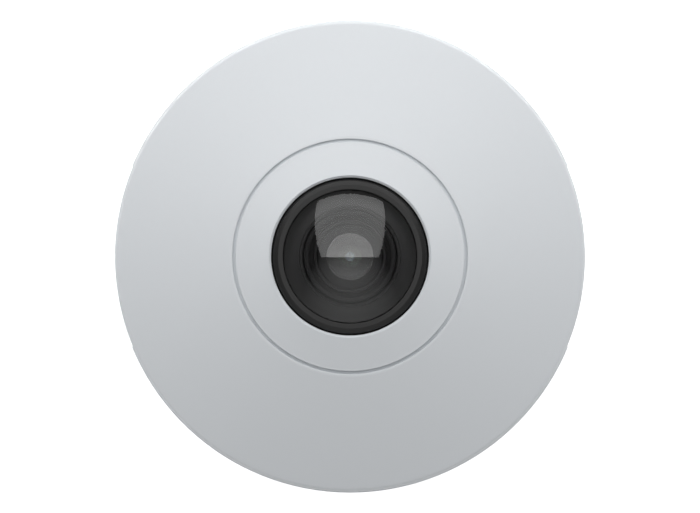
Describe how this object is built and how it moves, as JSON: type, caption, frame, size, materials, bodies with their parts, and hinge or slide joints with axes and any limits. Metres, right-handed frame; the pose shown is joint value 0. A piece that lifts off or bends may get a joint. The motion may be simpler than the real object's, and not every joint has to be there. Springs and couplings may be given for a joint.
{
  "type": "fisheye ip camera",
  "caption": "Round ceiling network camera with a shallow coned white cover, a bezel round a black-ringed domed window, a fisheye lens and a twist-lock ceiling bracket.",
  "frame": {"origin": "centre of the bracket's back face, where it meets the ceiling; the camera lies on its back", "axes": "+Z along the optical axis, from the ceiling out of the lens; +Y is the top of the picture, +X its right"},
  "size_m": [0.1484, 0.149, 0.047],
  "materials": {
    "shell": "fine satin, pale cool grey",
    "bracket_steel": "grey powder coat",
    "rubber": "matte",
    "spring_steel": "cold-rolled",
    "screw_steel": "zinc plated",
    "spreader_aluminium": "mill finish",
    "thermal_pad": "soft matte",
    "chip": "moulded",
    "circuit_board": "solder mask",
    "socket_shell": "tinned",
    "gold_contact": "gold flash",
    "capacitor_can": "drawn can",
    "ferrite": "pressed ferrite",
    "button": "satin",
    "led": "clear epoxy",
    "connector": "moulded",
    "flex": "polyimide film",
    "black_plastic": "matte",
    "ring_plastic": "satin black",
    "black_anodised": "black anodised",
    "sensor": "glass over silicon",
    "magnet": "nickel plated",
    "coil_copper": "enamelled copper",
    "window": "clear polycarbonate, hard coated",
    "lens_glass": "coated optical glass",
    "coated_glass": "green anti-reflection coating",
    "ir_cut_glass": "infrared-cut coating"
  },
  "bodies": {
    "bracket": {"mounting_bracket": "bracket_steel"},
    "camera": {"base_housing": "shell", "cable_grommet": "rubber", "cover_clips": "spring_steel", "heat_spreader": "spreader_aluminium", "thermal_pad": "thermal_pad", "processor": "chip", "main_board": "circuit_board", "board_screws": "screw_steel", "memory_chips": "chip", "ethernet_jack": "socket_shell", "jack_contacts": "gold_contact", "network_transformer": "chip", "capacitors": "capacitor_can", "inductors": "ferrite", "memory_card_slot": "socket_shell", "reset_switch": "chip", "status_led": "led", "flex_connectors": "connector", "flex_cable": "flex", "optic_carrier": "black_plastic", "carrier_screws": "screw_steel", "sensor_board": "circuit_board", "sensor_screws": "screw_steel", "image_sensor": "sensor", "filter_housing": "black_plastic", "drive_coil": "coil_copper", "filter_lid": "black_plastic", "lens_mount": "black_plastic", "mount_screws": "screw_steel", "lens_lock_ring": "black_anodised", "lens_barrel": "black_anodised", "front_element": "lens_glass", "front_retainer": "black_anodised", "inner_element": "coated_glass", "lens_spacer": "black_anodised", "rear_element": "lens_glass", "rear_retainer": "black_anodised", "lens_shroud": "black_plastic", "window_gasket": "rubber", "dome_window": "window", "window_ring": "ring_plastic", "optic_bezel": "shell", "bezel_screws": "screw_steel"},
    "cover": {"front_cover": "shell"},
    "button": {"reset_button": "button"},
    "shuttle": {"filter_shuttle": "black_plastic", "ir_cut_glass": "ir_cut_glass", "clear_glass": "lens_glass", "shuttle_magnet": "magnet"}
  },
  "joints": [
    {"name": "unit_twist", "type": "hinge", "parent": "bracket", "child": "camera", "pos_m": [0, 0, 0], "axis": [0, 0, 1], "range_deg": [0, 15]},
    {"name": "cover_lift", "type": "slide", "parent": "camera", "child": "cover", "axis": [0, 0, 1], "range_m": [0, 0.06], "deforming": ["cover_clips"]},
    {"name": "reset_press", "type": "slide", "parent": "camera", "child": "button", "axis": [0, 0, -1], "range_m": [0, 0.0005], "stiffness_N_per_m": 2000},
    {"name": "filter_shift", "type": "slide", "parent": "camera", "child": "shuttle", "axis": [1, 0, 0], "range_m": [0, 0.008]}
  ]
}
